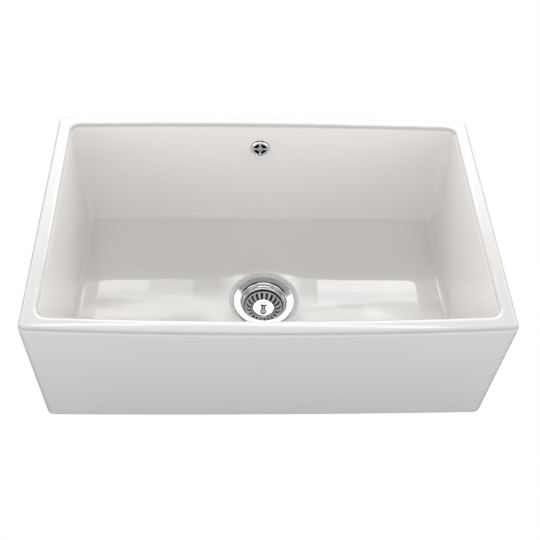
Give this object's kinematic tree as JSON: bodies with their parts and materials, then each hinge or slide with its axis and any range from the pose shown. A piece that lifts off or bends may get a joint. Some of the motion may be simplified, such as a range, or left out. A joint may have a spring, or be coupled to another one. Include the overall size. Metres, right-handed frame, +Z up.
{
  "type": "farmhouse apron front sink",
  "caption": "White fireclay apron front kitchen sink with a lift-out basket strainer waste and an overflow piped behind it to the waste.",
  "frame": {"origin": "On the axis of the waste, in the plane of the sink's underside where it stands on the cabinet.", "axes": "+Z up, +X to the right seen from the front, +Y to the back; the apron faces -Y"},
  "size_m": [0.76, 0.5178, 0.351],
  "materials": {
    "white_glaze": "gloss glaze",
    "polished_steel": "polished stainless",
    "plain_steel": "satin stainless",
    "chrome": "mirror",
    "brass": "turned",
    "white_plastic": "moulded",
    "grey_plastic": "moulded",
    "black_rubber": "matte",
    "foam_rubber": "matte"
  },
  "bodies": {
    "sink": {"sink_basin": "white_glaze", "waste_flange_bowl": "polished_steel", "waste_bowl_floor": "polished_steel", "flange_gasket": "foam_rubber", "underside_gasket": "black_rubber", "waste_body": "white_plastic", "waste_tail": "white_plastic", "waste_spider": "white_plastic", "waste_inlet_stub": "white_plastic", "centre_bolt": "brass", "bolt_nut": "brass", "overflow_rose": "chrome", "overflow_screw": "plain_steel", "overflow_gasket": "foam_rubber", "overflow_elbow": "grey_plastic", "screw_nut": "brass", "hose_nut_upper": "white_plastic", "hose_nut_lower": "white_plastic", "cone_washer_upper": "black_rubber", "cone_washer_lower": "black_rubber", "overflow_hose": "grey_plastic"},
    "strainer": {"strainer_basket": "polished_steel", "basket_knob": "polished_steel", "basket_stem": "plain_steel", "basket_seal": "black_rubber", "stem_spring_clip": "plain_steel"}
  },
  "joints": [
    {"name": "basket_lift", "type": "slide", "parent": "sink", "child": "strainer", "axis": [0, 0, 1], "range_m": [0, 0.3]}
  ]
}
